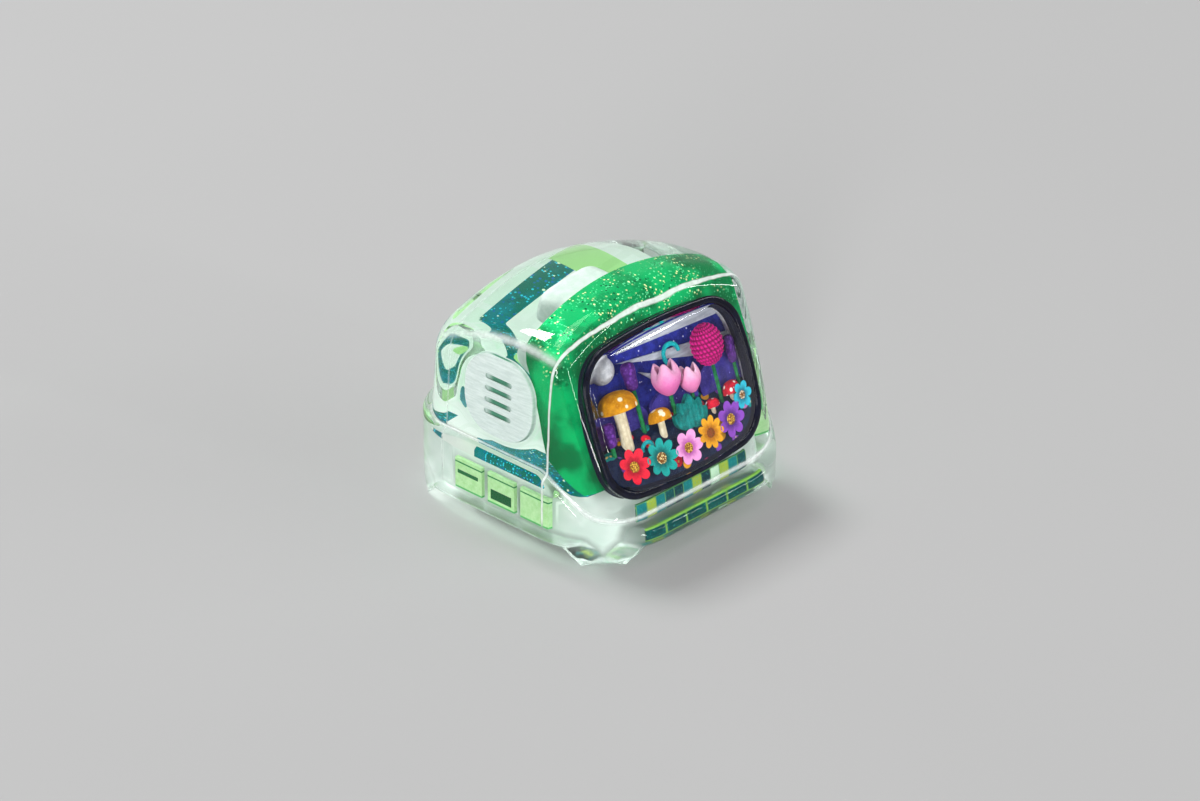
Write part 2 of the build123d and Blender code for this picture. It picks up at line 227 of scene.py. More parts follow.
def glitter(name, settings):  # coloured resin with soft clouds, dark veins and drifts of bright flakes
    paint = Paint(name)
    cloud = paint.noise(settings["cloud"], 4.0, 0.5)
    vein = paint.noise(settings["cloud"] * 1.9, 6.0, 0.7)
    base = paint.mix(paint.ramp(cloud, 0.4, 0.62), settings["deep"], settings["base"])
    base = paint.mix(paint.ramp(vein, 0.58, 0.7) * settings["veins"], base, settings["vein"])
    drift = paint.ramp(paint.noise(settings["drift"], 3.0), *settings["spread"])
    if "from" in settings:  # flakes begin between these heights
        drift = drift * paint.ramp(paint.axis("Z"), *settings["from"])
    for size, share, colour in settings["flakes"]:
        chosen = paint.chance(size).over(1 - share) * paint.cells(size).under(settings["flake"])
        base = paint.mix(chosen * drift, base, colour)
    metal = settings["metal"] * drift
    if "panes" in settings:  # glitter stays in a few oblongs of the floor, the rest is pale
        panes = settings["panes"]
        strip = sum(paint.within(X=x, Y=y) for x, y in panes["glitterAt"])
        pale = paint.mix(paint.ramp(paint.noise(0.18, 1.0), 0.5, 0.58), *panes["pale"])
        pale = paint.mix(paint.within(**panes["greenAt"]), pale, panes["green"])
        base = paint.mix(strip, pale, base)
        metal = metal * strip
    bump = paint.bump(paint.chance(settings["grain"], 1) * drift, 0.4, 0.05)
    skin = paint.skin(Base_Color=base, Roughness=0.3, Metallic=metal, Normal=bump,
                      Specular_IOR_Level=sealedShine)
    return paint.done(skin)


def painted(name, settings):  # hand-laid paint: brush streaks, worn tone, fine bump, and marks if asked
    paint = Paint(name)
    streak = paint.noise(settings.get("grain", 2.4), 5.0, 0.62, settings.get("stretch", 1.0))
    speck = paint.noise(9.0, 3.0, 0.6)
    base = paint.mix(paint.ramp(streak, 0.3, 0.72), settings["shade"], settings["base"])
    base = paint.mix(paint.ramp(speck, 0.58, 0.75) * 0.4, base, settings["light"])
    height = streak + 0.4 * speck
    if "dots" in settings:
        size, reach, colour = settings["dots"]
        dot = 1 - paint.ramp(paint.cells(size), reach * 0.8, reach)
        base = paint.mix(dot, base, colour)
        height = height + dot
    if "carpet" in settings:  # small flowers in mixed colours, with a heart each
        size, bare, stops = settings["carpet"]
        pick = paint.chance(size)
        near = paint.cells(size)
        head = (1 - paint.ramp(near, 0.36, 0.46)) * pick.over(bare)
        heart = (1 - paint.ramp(near, 0.1, 0.15)) * pick.over(bare)
        base = paint.mix(head, base, paint.palette(pick, stops))
        base = paint.mix(heart, base, settings["heart"])
        height = height + 2.0 * head
    if "florets" in settings:  # packed round petals, with painted shade in the gaps between them
        size, deep = settings["florets"]
        near = paint.cells(size)
        base = paint.mix(paint.ramp(near, 0.25, 0.62), base, settings["shade"])
        height = height - deep * near
    if "ribs" in settings:  # grooves along the height
        wide, share = settings["ribs"]
        wave = (paint.axis("X") * (2 * math.pi / wide)).op("SINE") * 0.5 + 0.5
        base = paint.mix(paint.ramp(wave, 0.5, 1.0) * share, base, settings["shade"])
        height = height + 1.5 * wave
    for span, colour in settings.get("bars", []):  # level stripes between two heights
        base = paint.mix(paint.within(Z=span), base, colour)
    for across, span, colour in settings.get("blots", []):  # oblongs between a pair of Y and a pair of Z
        base = paint.mix(paint.within(Y=across, Z=span), base, colour)
    if "rim" in settings:  # dark round the mouth of the tray
        reach, colour = settings["rim"]
        c, s = math.cos(screen["tilt"]), math.sin(screen["tilt"])
        deep = (paint.axis("Y") - screen["y"]) * c - (paint.axis("Z") - screen["z"]) * s
        base = paint.mix(deep.under(reach), base, colour)
    if "slots" in settings:  # dark floor of the slots, paler towards their ends
        slots = settings["slots"]
        run = math.tan(math.radians(body["draft"]))
        wall = body["half"] - body["step"] - (paint.axis("Z") - body["skirt"]) * run
        deep = wall - paint.axis("X").op("ABSOLUTE")
        reach = (paint.axis("Y") - speaker["shift"]).op("ABSOLUTE")
        fade = 1 - slots["loss"] * paint.ramp(reach, *slots["fade"])
        floor = paint.ramp(deep, *slots["from"]) * deep.under(slots["to"])
        base = paint.mix(floor * fade, base, slots["colour"])
    rough = settings["gloss"] + settings.get("sheen", 0.18) * speck
    bump = paint.bump(height, 0.35, settings.get("depth", 0.05))
    skin = paint.skin(Base_Color=base, Roughness=rough, Normal=bump, Coat_Weight=settings.get("coat", 0.0),
                      Specular_IOR_Level=settings.get("spec", pocketShine))
    return paint.done(skin)


# surfaces on a grid

def gridPiece(name, rows, material, start=None, end=None, attributes=None):
    # rows: points in millimetres, closed along the second parameter; start and end close the poles
    count, around = rows.shape[:2]
    points = rows.reshape(-1, 3)
    index = np.arange(count * around).reshape(count, around)
    after = np.roll(index, -1, 1)
    quads = np.stack([index[:-1], after[:-1], after[1:], index[1:]], -1).reshape(-1, 4)
    fans = []
    for pole, ring, turned in ((start, 0, False), (end, count - 1, True)):
        if pole is None:
            continue
        centre = np.full(around, len(points))
        points = np.vstack([points, np.asarray(pole, float)[None]])
        pair = (index[ring], after[ring]) if turned else (after[ring], index[ring])
        fans.append(np.stack([centre, *pair], -1))
    corner = points[quads]
    size = np.einsum("ij,ij->i", corner[:, 0], np.cross(corner[:, 1], corner[:, 2])).sum()
    size += np.einsum("ij,ij->i", corner[:, 0], np.cross(corner[:, 2], corner[:, 3])).sum()
    faces = [quads] + fans
    if size < 0:
        faces = [f[:, ::-1] for f in faces]
    mesh = bpy.data.meshes.new(name)
    mesh.from_pydata((points * mm).tolist(), [], [f for block in faces for f in block.tolist()])
    for key, values in (attributes or {}).items():
        layer = mesh.attributes.new(key, "FLOAT", "POINT")
        full = np.zeros(len(points), np.float32)
        full[:values.size] = values.reshape(-1)
        layer.data.foreach_set("value", full)
    mesh.shade_smooth()
    piece = bpy.data.objects.new(name, mesh)
    bpy.context.scene.collection.objects.link(piece)
    piece.data.materials.append(material)
    print("piece", name, len(mesh.vertices), "points")
    return piece


def cappedPiece(name, rows, material, attributes):  # each end closed at the middle of its row
    return gridPiece(name, rows, material, rows[0].mean(0), rows[-1].mean(0), attributes)


def closedRing(name, rows, material):  # both parameters run round
    return gridPiece(name, np.concatenate([rows, rows[:1]]), material)


def seat(piece, slot, *nodes):
    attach(piece, "root")
    if nodes:
        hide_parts(*nodes)


# clear body: one closed skin, outside and underside

body = {
    "half": 9.0, "corner": 5.2, "skirt": 5.4, "shoulder": 0.45, "lip": 2.0, "dipStart": 3.4, "rim": 1.05,
    "foot": 6.3, "flare": 0.7, "footRound": 0.8, "step": 0.45, "back": 1.45, "backCorner": 3.0, "draft": 3.6,
    "top": 14.5, "crown": 19.1, "barrel": 16.4, "crest": -1.45, "topRound": 0.95, "frontRound": 1.05,
    "root": 0.22, "leastCorner": 0.3, "archOut": 0.15, "archIn": 1.5, "around": 468, "up": 170, "scan": 420,
    "eye": 1.2, "pole": 0.004, "bendPull": 0.55, "blur": 13, "skirtSpan": (5.0, 14.0), "span": (2.0, 16.0),
}
screen = {
    "wide": 13.7, "tall": 9.897, "bow": 0.6, "corner": 2.6, "tilt": math.radians(20.0), "y": -5.95, "z": 7.85,
    "ring": 0.4, "rise": 1.0, "edge": 0.2, "bed": ((-4.95, -2.25, -0.54, 5.0), (-0.5, -0.65, -2.35, -2.35)),
    "sink": 0.2, "pocket": 0.28, "pocketReach": 0.3, "lap": 0.02, "soft": 0.22, "around": 260, "domeRows": 44,
    "domeReach": 4.3, "domeEase": 1.25, "ringAround": 320, "ringLap": 22, "ringProud": 0.13, "ringDeep": 0.42,
    "ringSquare": 0.55, "cornerShare": 0.72, "span": (1.0, 12.0),
}
speaker = {
    "wide": 5.4, "tall": 5.0, "corner": 2.1, "level": 8.75, "shift": 0.2, "rim": 0.9, "rise": 0.3,
    "slope": 0.55, "round": 0.3, "root": 0.25,
}
cave = {
    "half": 7.1, "corner": 3.4, "lean": 2.2 / 4.8, "top": 4.3, "skin": 0.03, "rows": 8,
    "milkRim": (0.1, 0.45), "milk": 0.82, "span": (1.0, 14.0),
}
# white bands along the crease over the skirt and the top's edges: partly frost, partly painted highlight
frostAndHighlight = {
    "crease": 0.1, "creaseShare": 0.9, "crest": 0.26, "crestFrom": (-4.2, -3.6), "crestFade": (0.0, 4.0),
}


def roundMax(a, b, r):  # intersection of two fields with an edge of radius r
    return np.minimum(-r, np.maximum(a, b)) + np.hypot(np.maximum(a + r, 0), np.maximum(b + r, 0))


def roundMin(a, b, r):  # union with a fillet of radius r
    return -roundMax(-a, -b, r)


def boxField(x, y, wide, deep, corner):  # distance to a rounded rectangle round the origin
    qx = np.abs(x) - wide + corner
    qy = np.abs(y) - deep + corner
    return np.hypot(np.maximum(qx, 0), np.maximum(qy, 0)) + np.minimum(np.maximum(qx, qy), 0) - corner


def shoulderLine(y):  # height of the skirt's top: level, then an eased dip to the front lip
    t = np.clip((-body["dipStart"] - y) / (body["half"] - body["dipStart"]), 0, 1)
    ease = t ** 1.55 * (1.9 - 0.9 * t ** 1.4)  # slow start, nearly level at the lip
    return body["skirt"] + (body["lip"] - body["skirt"]) * ease


def skirtField(x, y, z):
    low = np.clip(body["footRound"] - z, 0, body["footRound"])
    inset = body["footRound"] - np.sqrt(body["footRound"] ** 2 - low ** 2)
    plan = boxField(x, y, body["half"], body["half"], body["corner"]) + inset
    nudge = 0.05
    slope = (shoulderLine(y + nudge) - shoulderLine(y - nudge)) / (2 * nudge)
    return roundMax(plan, (z - shoulderLine(y)) / np.hypot(1, slope), body["shoulder"])


def wallField(x, y, z):  # drafted cabinet walls, with tighter corners behind
    run = math.tan(math.radians(body["draft"]))
    inset = body["step"] + (z - body["skirt"]) * run
    side = body["half"] - inset
    least = body["leastCorner"]
    front = boxField(x, y, side, side, np.maximum(body["corner"] - inset, least))
    half = body["back"] / 2
    rear = boxField(x, y + half, side, side - half, np.maximum(body["backCorner"] - inset, least))
    return np.where(y < 0, front, rear) * math.cos(math.radians(body["draft"]))


def crownField(x, y, z):  # barrel across the part, bulging in the middle
    reach = body["barrel"] - body["crown"] + np.sqrt(np.maximum(body["crown"] ** 2 - x ** 2, 1))
    return np.hypot(y - body["crest"], z - body["top"] + body["barrel"]) - reach


def screenField(x, y, z):
    return -(y - screen["y"]) * math.cos(screen["tilt"]) + (z - screen["z"]) * math.sin(screen["tilt"])


def outlineField(x, y, inset):  # bowed rectangle with round corners
    wide = screen["wide"] / 2 - inset
    tall = screen["tall"] / 2 - inset
    qx = np.abs(x) - wide + screen["bow"] * (y / tall) ** 2
    qy = np.abs(y) - tall + screen["bow"] * (x / wide) ** 2
    return roundMax(qx, qy, (screen["corner"] - inset) * screen["cornerShare"])


def toScreen(points):  # the part's axes to screen axes
    c, s = math.cos(screen["tilt"]), math.sin(screen["tilt"])
    y, z = points[..., 1] - screen["y"], points[..., 2] - screen["z"]
    return np.stack([points[..., 0], s * y + c * z, s * z - c * y], -1)


def fromScreen(local):
    c, s = math.cos(screen["tilt"]), math.sin(screen["tilt"])
    x, y, z = local[..., 0], local[..., 1], local[..., 2]
    return np.stack([x, screen["y"] + s * y - c * z, screen["z"] + c * y + s * z], -1)


def bedDepth(y):  # just inside the white tray, under its floor and behind its back wall
    return np.interp(y, *screen["bed"]) - screen["sink"]


def padField(x, y, z):  # low pads over the speakers: rounded rectangles that shrink as they rise
    run = math.tan(math.radians(body["draft"]))
    out = np.abs(x) - body["half"] + body["step"] + (z - body["skirt"]) * run
    plan = boxField(y - speaker["shift"], z - speaker["level"], speaker["wide"] / 2, speaker["tall"] / 2,
                    speaker["corner"])
    lift = np.maximum(out, -speaker["rise"]) - speaker["rise"]
    sides = (plan + lift * speaker["rim"] / (2 * speaker["rise"])) * speaker["slope"]
    return roundMax(sides, out - speaker["rise"], speaker["round"])


def cabinetField(x, y, z):
    shell = roundMax(wallField(x, y, z), crownField(x, y, z), body["topRound"])
    shell = roundMax(shell, screenField(x, y, z), body["frontRound"])
    return roundMin(shell, padField(x, y, z), speaker["root"])


def bodyField(x, y, z):
    return roundMin(skirtField(x, y, z), cabinetField(x, y, z), body["root"])


def march(field, start, way, near, far, steps=44):  # halving along rays that leave the solid once
    near = np.full(way.shape[:-1], near)
    far = np.full(way.shape[:-1], far)
    for _ in range(steps):
        half = (near + far) / 2
        spot = start + way * half[..., None]
        inside = field(spot[..., 0], spot[..., 1], spot[..., 2]) < 0
        near = np.where(inside, half, near)
        far = np.where(inside, far, half)
    return start + way * near[..., None]


def rimHeight(x, y):  # open arches between the feet
    low = -body["foot"] - body["archOut"]
    high = -body["foot"] + body["archIn"] * body["flare"]
    return np.maximum(smooth(low, high, -np.abs(x)), smooth(low, high, -np.abs(y))) * body["rim"]


def rays(turn, rise):
    return np.stack([np.cos(rise) * np.sin(turn), -np.cos(rise) * np.cos(turn), np.sin(rise)], -1)


def gathered(ring, rise):  # angles moved closer together where the surface turns
    run = np.diff(ring, axis=0)
    length = np.linalg.norm(run, axis=-1)
    heading = run / length[..., None]
    bend = np.zeros_like(length)
    bend[1:] = np.arccos(np.clip((heading[1:] * heading[:-1]).sum(-1), -1, 1))
    weight = length + body["bendPull"] * bend
    kernel = np.hanning(body["blur"])
    kernel /= kernel.sum()
    side = body["blur"] // 2
    pad = np.concatenate([weight[:, -side:], weight, weight[:, :side]], 1)
    weight = np.stack([np.convolve(line, kernel, "valid") for line in pad])
    total = np.vstack([np.zeros(body["around"]), np.cumsum(weight, 0)])
    total /= total[-1]
    wanted = np.linspace(0, 1, body["up"])
    return np.stack([np.interp(wanted, total[:, k], rise[:, k]) for k in range(body["around"])], 1)


def caveEdge(flat, level):  # edge of the hollow at this height; its front wall leans
    side = cave["half"] - cave["skin"]
    edge = march(lambda x, y, z: boxField(x, y, side, side, cave["corner"]), np.zeros(3), flat, *cave["span"])
    limit = -side + cave["lean"] * level
    reach = np.where(edge[:, 1] < limit, limit / np.minimum(edge[:, 1], -1e-6), 1.0)
    return edge[:, :2] * reach[:, None]


def underRows(flat, foot):  # across the rim, up the leaning wall of the hollow, in to the middle
    inner = caveEdge(flat, 0.0)
    steps = np.linspace(0, 1, cave["rows"] + 1)[1:]
    rows = []
    for t in steps:
        across = foot[:, :2] + (inner - foot[:, :2]) * t
        rows.append(np.column_stack([across, rimHeight(across[:, 0], across[:, 1])]))
    start = rows[-1][:, 2]
    for t in steps:
        level = start + (cave["top"] - start) * t
        rows.append(np.column_stack([caveEdge(flat, level), level]))
    ceiling = np.full(len(flat), cave["top"])
    for t in (0.75, 0.5, 0.25):
        rows.append(np.column_stack([caveEdge(flat, ceiling) * t, ceiling]))
    return np.stack(rows)


def bodyRows():
    turn = np.linspace(0, 2 * np.pi, body["around"], endpoint=False)
    eye = np.array([0.0, 0.0, body["eye"]])
    flat = rays(turn, np.zeros_like(turn))
    foot = march(skirtField, eye, flat, *body["skirtSpan"])
    for _ in range(3):  # bottom outer edge, at the height of its arch
        level = rimHeight(foot[:, 0], foot[:, 1])
        foot = march(lambda x, y, z: skirtField(x, y, z + level), np.zeros(3), flat, *body["skirtSpan"])
        foot[:, 2] = level
    lowest = np.arctan2(foot[:, 2] - body["eye"], np.hypot(foot[:, 0], foot[:, 1]))
    # first pass on even angles, second on gathered ones
    share = np.linspace(0, 1, body["scan"])[:, None]
    rise = lowest + (np.pi / 2 - body["pole"] - lowest) * share
    ring = march(bodyField, eye, rays(turn[None] + 0 * rise, rise), *body["span"])
    rise = gathered(ring, rise)
    outer = march(bodyField, eye, rays(turn[None] + 0 * rise, rise), *body["span"])
    # pocket for the window: the front inside the ring drops into the tray
    local = toScreen(outer)
    pocket = outlineField(local[..., 0], local[..., 1], screen["pocket"]) < 0
    pocket &= np.abs(local[..., 2]) < screen["pocketReach"]
    local[..., 2] = np.where(pocket, bedDepth(local[..., 1]), local[..., 2])
    outer = np.where(pocket[..., None], fromScreen(local), outer)
    under = underRows(flat, foot)
    rim = np.linspace(*cave["milkRim"], cave["rows"])
    milk = np.concatenate([np.zeros(len(outer)), rim, np.full(len(under) - cave["rows"], cave["milk"])])
    return np.concatenate([outer[::-1], under]), milk


def edgeMask(points):  # how near a point is to the crease over the skirt and to the edges of the top
    x, y, z = points[..., 0], points[..., 1], points[..., 2]
    wall = wallField(x, y, z)
    top = crownField(x, y, z)
    apart = skirtField(x, y, z) - cabinetField(x, y, z)
    # the white here is partly painted highlight on the rounded edges
    crease = np.exp(-(apart / frostAndHighlight["crease"]) ** 2) * (z > body["lip"])
    crest = np.exp(-((wall - top) / frostAndHighlight["crest"]) ** 2) * smooth(*frostAndHighlight["crestFrom"], y)
    crest = crest * (0.9 - 0.4 * smooth(*frostAndHighlight["crestFade"], y))
    return np.clip(np.maximum(crease * frostAndHighlight["creaseShare"], crest), 0, 1)


clearSettings = {
    "face": tint("#FDFFFE"), "shine": (0.6, 0.6, 0.6, 1), "gloss": 0.012, "bend": 1.47,
    # frost: white of the joins and edge bands, partly painted highlight, and the paler part of the milk
    "frost": tint("#EFF4F2"), "milk": tint("#DDEAE4"), "milkShadow": 0.75,
    "seams": [(-3.9, 0.105, 0.95), (4.35, 0.09, 0.3)], "seamsFrom": (1.5, 2.6), "waver": 0.22,
    "veil": tint("#F2FBF6"), "depth": tint("#BFE8D2"), "density": 34.0,
}
rows, milk = bodyRows()
marks = {"edge": edgeMask(rows), "milk": np.repeat(milk, body["around"])}
crown = (0, rows[0][:, 1].mean(), rows[0][:, 2].max())
clearResin = clearCasting("clear resin", clearSettings)
clearBody = gridPiece("clear_casting", rows, clearResin, crown, (0, 0, cave["top"]), marks)
seat(clearBody, "clear_resin", "clear_body")


# screen: ring and domed window on the tilted plane

def screenEdge(inset, turn):  # the outline's points in these directions
    way = np.stack([np.cos(turn), np.sin(turn), 0 * turn], -1)
    return march(lambda x, y, z: outlineField(x, y, inset), np.zeros(3), way, *screen["span"])[:, :2]


def domeHeight(x, y):
    bulge = screen["rise"] - screen["edge"]
    radius = ((screen["wide"] / 2 - screen["ring"]) ** 2 + bulge ** 2) / bulge / 2
    return screen["rise"] - radius + np.sqrt(radius ** 2 - x ** 2 - y ** 2)


def windowRows():  # dome cut by the ring's inner edge, with a rounded rim, filling the tray behind it
    turn = np.linspace(0, 2 * np.pi, screen["around"], endpoint=False)
    outer = screenEdge(screen["ring"] - screen["lap"], turn)
    soft = screen["soft"]
    rows = []
    for t in np.linspace(0.03, 1, screen["domeRows"]):
        inset = screen["domeReach"] * (1 - t) ** screen["domeEase"]
        reach = 1 - inset / np.linalg.norm(outer, axis=1)
        flat = outer * np.maximum(reach, 0.02)[:, None]
        height = domeHeight(flat[:, 0], flat[:, 1])
        drop = soft - np.sqrt(np.maximum(soft ** 2 - np.maximum(soft - inset, 0) ** 2, 0))
        rows.append(np.column_stack([flat, height - drop]))
    edge = rows[-1][:, 2]
    deep = bedDepth(outer[:, 1])
    for t in (0.1, 0.35, 0.7, 1.0):
        rows.append(np.column_stack([outer, edge * (1 - t) + deep * t]))
    for t in np.linspace(1, 0, 16)[1:-1]:
        rows.append(np.column_stack([outer * t, bedDepth(outer[:, 1] * t)]))
    return fromScreen(np.stack(rows))


def ringRows():  # dark ring with a rounded front, carried round the screen's edge
    turn = np.linspace(0, 2 * np.pi, screen["ringAround"], endpoint=False)
    lap = np.linspace(0, 2 * np.pi, screen["ringLap"], endpoint=False)
    middle = screen["ring"] / 2
    square = screen["ringSquare"]
    across = np.sign(np.cos(lap)) * np.abs(np.cos(lap)) ** square * (middle + screen["lap"])
    high = np.sign(np.sin(lap)) * np.abs(np.sin(lap)) ** square
    high = np.where(high > 0, high * screen["ringProud"], high * screen["ringDeep"])
    lines = []
    for a, h in zip(across, high):
        lines.append(np.column_stack([screenEdge(middle + a, turn), np.full(len(turn), h)]))
    return fromScreen(np.stack(lines).transpose(1, 0, 2))


windowSettings = dict(clearSettings, seams=[], density=6.0, veil=tint("#FBFDFC"), bend=1.43, gloss=0.006,
                      shine=(0.85, 0.85, 0.85, 1))
front = fromScreen(np.array([0, 0, screen["rise"]]))
back = fromScreen(np.array([0, 0, bedDepth(0.0)]))
lens = gridPiece("screen_window", windowRows(), clearCasting("window resin", windowSettings), front, back)
seat(lens, "window_resin", "screen_lens")

bezelSettings = {"base": tint("#14162A"), "shade": tint("#0B0C18"), "light": tint("#1A1C30"), "gloss": 0.05,
                 "sheen": 0.04, "grain": 1.2, "depth": 0.002, "coat": 0.1, "spec": 0.2}
ring = closedRing("screen_ring", ringRows(), painted("navy black enamel", bezelSettings))
seat(ring, "dark_bezel", "screen_bezel")


# finishes of the cast pieces that keep their CAD shape

def dress(node, material):
    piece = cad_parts[node]
    piece.data.materials.clear()
    piece.data.materials.append(material)


emeraldSettings = {
    "cloud": 0.42, "base": tint("#00AA62"), "deep": tint("#006C3C"), "vein": tint("#014A2B"), "veins": 0.75,
    "drift": 0.5, "spread": (0.38, 0.56), "from": (10.4, 12.0), "flake": 0.36, "grain": 11.0, "metal": 0.2,
    "flakes": [(5.5, 0.2, tint("#04402A")), (7.5, 0.3, tint("#6BE3A6")), (6.0, 0.16, tint("#F8F2B4"))],
}
floorPanes = {  # pairs of X and of Y
    "glitterAt": [((-0.8, 4.2), (4.95, 6.1)), ((-9.0, -4.3), (-9.0, 2.6)), ((-9.0, -4.7), (5.4, 6.2))],
    "greenAt": {"X": (4.2, 6.0), "Y": (3.2, 6.3)},
    "pale": (tint("#E4E3E3"), tint("#DBE6DD")), "green": tint("#A9D48F"),
}
platePanes = dict(floorPanes, pale=(tint("#DDDEDC"), tint("#E4E8E5")), green=tint("#A3CF8A"))
tealSettings = {
    "cloud": 0.8, "base": tint("#007E8A"), "deep": tint("#007062"), "vein": tint("#063F4E"), "veins": 0.5,
    "drift": 0.7, "spread": (0.25, 0.42), "flake": 0.36, "grain": 11.0, "metal": 0.2, "panes": floorPanes,
    "flakes": [(5.5, 0.35, tint("#0B6FB4")), (6.5, 0.3, tint("#2FD0EC")), (5.0, 0.12, tint("#EFFBE0"))],
}
dress("green_arch", glitter("emerald glitter", emeraldSettings))
dress("floor_tiles", glitter("teal and lime tiles", tealSettings))
dress("stem_plate", glitter("mint plate", dict(tealSettings, panes=platePanes)))

discSlots = {"from": (0.16, 0.26), "to": 0.45, "fade": (0.45, 1.05), "loss": 0.75, "colour": tint("#4A8A70")}
disc = {
    "base": tint("#DFE4E4"), "shade": tint("#C9D1D0"), "light": tint("#EEF1F1"), "gloss": 0.4,
    "stretch": (0.4, 0.4, 3.0), "slots": discSlots,
}
castPaints = {
    "screen_cup": {
        "base": tint("#F3F5F4"), "shade": tint("#E2E7E5"), "light": tint("#FFFFFF"), "gloss": 0.35,
        "rim": (1.35, tint("#12142A")),
    },
    "speaker_left": disc,
    "speaker_right": disc,
    "base_blocks": {
        "base": tint("#C3E4B2"), "shade": tint("#A9D795"), "light": tint("#E2F4D8"), "gloss": 0.3,
        "bars": [((3.2, 3.3), tint("#2E8A4B")), ((1.5, 1.62), tint("#5DB86B"))],
        "blots": [
            ((-0.85, 0.85), (1.8, 2.45), tint("#175A33")),
            ((1.9, 3.6), (2.5, 2.75), tint("#1F6B3D")),
        ],
    },
}
for node, settings in castPaints.items():
    dress(node, painted(node.replace("_", " ") + " finish", settings))


# strip of dark tiles close behind the front wall, and a row of mixed ones behind the lip

def stripRows(settings):
    # path: the skirt's plan moved in, straight in front and round at both ends; section: a soft oblong
    along = np.linspace(-settings["span"], settings["span"], 140)
    straight = body["half"] - body["corner"]
    radius = body["corner"] - settings["inset"]
    angle = (np.abs(along) - straight).clip(0) / radius
    out = np.stack([np.sign(along) * np.sin(angle), -np.cos(angle)], -1)
    middle = np.stack([np.clip(along, -straight, straight), np.full_like(along, -straight)], -1)
    turn = np.linspace(0, 2 * np.pi, 40, endpoint=False)
    deep = settings["thick"] / 2 * np.sign(np.cos(turn)) * np.abs(np.cos(turn)) ** 0.5
    high = settings["level"] + settings["tall"] / 2 * np.sign(np.sin(turn)) * np.abs(np.sin(turn)) ** 0.4
    plan = middle[:, None] + out[:, None] * (radius + deep)[None, :, None]
    rows = np.concatenate([plan, np.broadcast_to(high[None, :, None], plan.shape[:2] + (1,))], -1)
    return rows, np.broadcast_to(along[:, None], plan.shape[:2]).copy()


def tilePaint(name, settings):  # tiles in a row with pale joints
    paint = Paint(name)
    count = paint.stored("along") / settings["pitch"] + 40.0  # moved so that it stays positive
    cell = (count.op("FRACT") - 0.5).op("ABSOLUTE")
    rise = (paint.axis("Z") - settings["level"]).op("ABSOLUTE")
    joint = cell.over(0.5 - settings["joint"] / settings["pitch"])
    joint = joint.top(rise.over(settings["tall"] / 2 - settings["joint"]))
    cloud = paint.noise(1.1, 4.0, 0.6)
    fleck = paint.cells(7.0).under(0.22)
    base = paint.mix(paint.ramp(cloud, 0.35, 0.65), settings["deep"], settings["base"])
    if "mixed" in settings:  # each tile takes one of these colours
        pick = (count.op("FLOOR") * 0.618).op("FRACT")
        base = paint.mix(0.65 + 0.5 * cloud, base, paint.palette(pick, settings["mixed"]))
    base = paint.mix(fleck * 0.7, base, settings["fleck"])
    base = paint.mix(joint * (0.55 + 0.5 * cloud), base, settings["line"])
    bump = paint.bump(cloud - joint, 0.3, 0.04)
    skin = paint.skin(Base_Color=base, Roughness=0.3 + 0.2 * cloud, Normal=bump,
                      Specular_IOR_Level=sealedShine)
    return paint.done(skin)


strip = {
    "span": 5.0, "inset": 0.5, "thick": 0.2, "level": 1.5, "tall": 0.66, "pitch": 1.75, "joint": 0.07,
    "base": tint("#0B504E"), "deep": tint("#063A40"), "fleck": tint("#2BA7A0"), "line": tint("#88BC4C"),
}
rows, along = stripRows(strip)
bar = cappedPiece("front_strip", rows, tilePaint("dark tiles", strip), {"along": along})
seat(bar, "teal_block")

row = {
    "span": 4.7, "inset": 1.75, "thick": 0.3, "level": 2.2, "tall": 1.5, "pitch": 0.78, "joint": 0.04,
    "base": tint("#0B6A70"), "deep": tint("#07414C"), "fleck": tint("#2BA7A0"), "line": tint("#5F9A5A"),
    "mixed": [
        (0.0, tint("#0C7C82")), (0.3, tint("#08303C")), (0.55, tint("#A9BC3E")), (0.72, tint("#0A4A50")),
        (0.88, tint("#C9E6CC")),
    ],
}
rows, along = stripRows(row)
lipRow = cappedPiece("lip_row", rows, tilePaint("mixed tiles", row), {"along": along})
seat(lipRow, "teal_block", "lip_blocks")


# paints of the garden behind the window: base, shade and light

